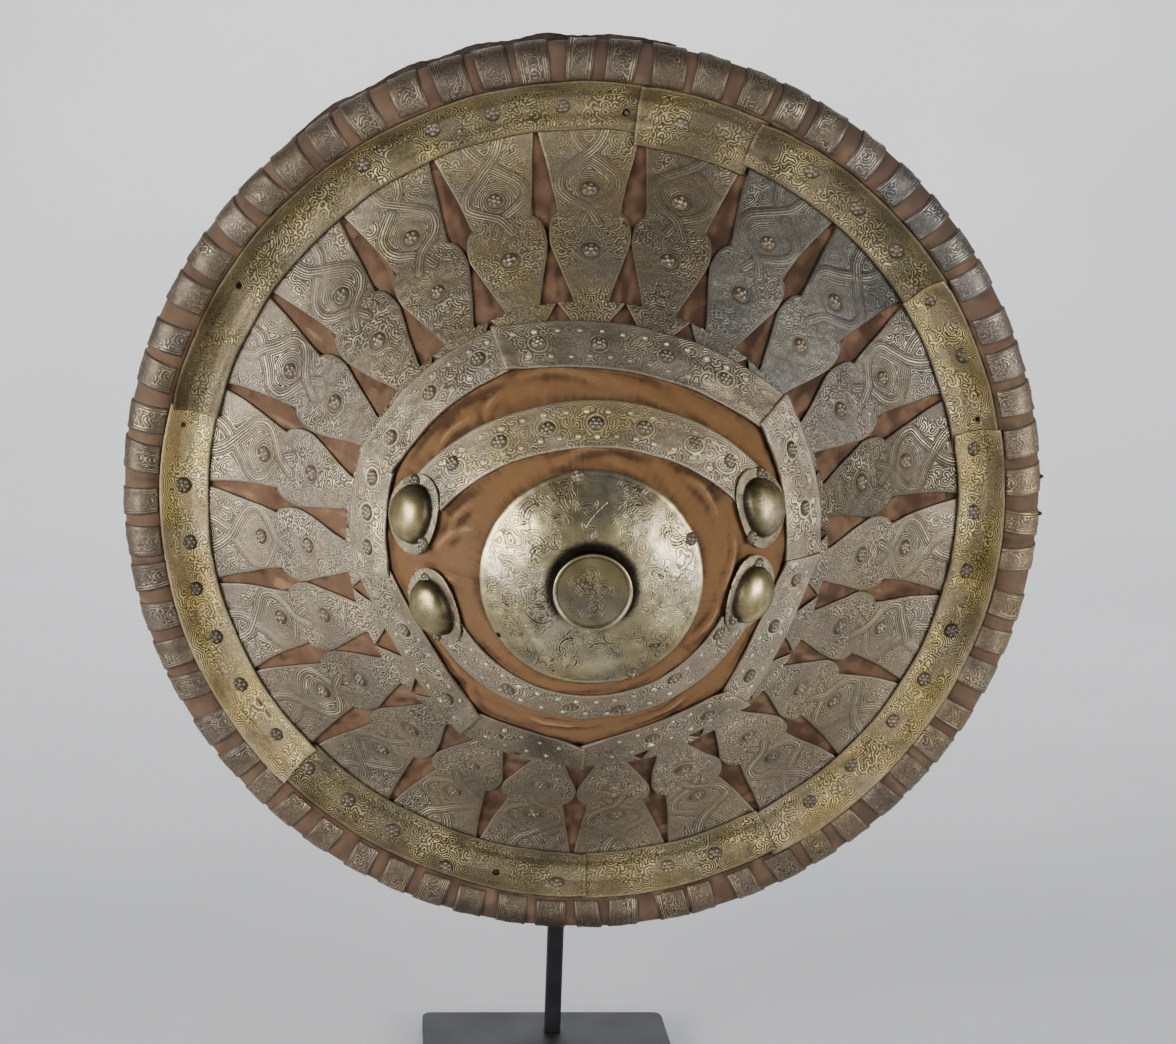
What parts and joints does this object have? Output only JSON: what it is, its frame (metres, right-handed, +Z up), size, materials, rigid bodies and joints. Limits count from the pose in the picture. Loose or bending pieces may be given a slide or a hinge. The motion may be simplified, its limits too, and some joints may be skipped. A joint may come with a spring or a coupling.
{
  "type": "hide shield on a display stand",
  "caption": "Round conical hide shield faced with velvet, silver plates and gilt-brass bands, with a central dish and knob, held upright on a rod and a flat base.",
  "frame": {"origin": "middle of the base plate's underside", "axes": "+Z up, the shield's front faces -Y, +X to the right seen from the front"},
  "size_m": [0.5, 0.2425, 0.5762],
  "materials": {
    "hide": "thick dark hide, dull, smoked and worn at the rim",
    "velvet": "rust-brown napped velvet, worn and creased",
    "silver": "thin embossed low-grade silver sheet with dark patina in the lines",
    "gilt": "thin embossed gilt brass sheet with worn gilding and dark recesses",
    "grip_leather": "handled dark brown leather",
    "black_steel": "satin black powder coat"
  },
  "bodies": {
    "root": {"hide_shell": "hide", "velvet_cover": "velvet", "radial_plate_01": "silver", "radial_plate_02": "silver", "radial_plate_03": "silver", "radial_plate_04": "silver", "radial_plate_05": "silver", "radial_plate_06": "silver", "radial_plate_07": "silver", "radial_plate_08": "silver", "radial_plate_09": "silver", "radial_plate_10": "silver", "radial_plate_11": "silver", "radial_plate_12": "silver", "radial_plate_13": "silver", "radial_plate_14": "silver", "radial_plate_15": "silver", "radial_plate_16": "silver", "radial_plate_17": "silver", "radial_plate_18": "silver", "radial_plate_19": "silver", "radial_plate_20": "silver", "radial_plate_21": "silver", "radial_plate_22": "silver", "radial_plate_23": "silver", "outer_band_1": "gilt", "outer_band_2": "gilt", "outer_band_3": "gilt", "outer_band_4": "gilt", "outer_band_5": "gilt", "outer_band_6": "gilt", "outer_band_7": "gilt", "outer_band_8": "gilt", "inner_band_1": "silver", "inner_band_2": "silver", "inner_band_3": "silver", "inner_band_4": "silver", "inner_band_5": "silver", "inner_band_6": "silver", "inner_band_7": "silver", "inner_band_8": "silver", "upper_arch_band": "gilt", "lower_arch_band": "silver", "small_boss_upper_left": "silver", "small_boss_upper_right": "silver", "small_boss_lower_right": "silver", "small_boss_lower_left": "silver", "central_dish": "silver", "centre_knob": "silver", "arm_grip": "grip_leather", "stand_rod": "black_steel", "stand_base": "black_steel"}
  },
  "joints": []
}
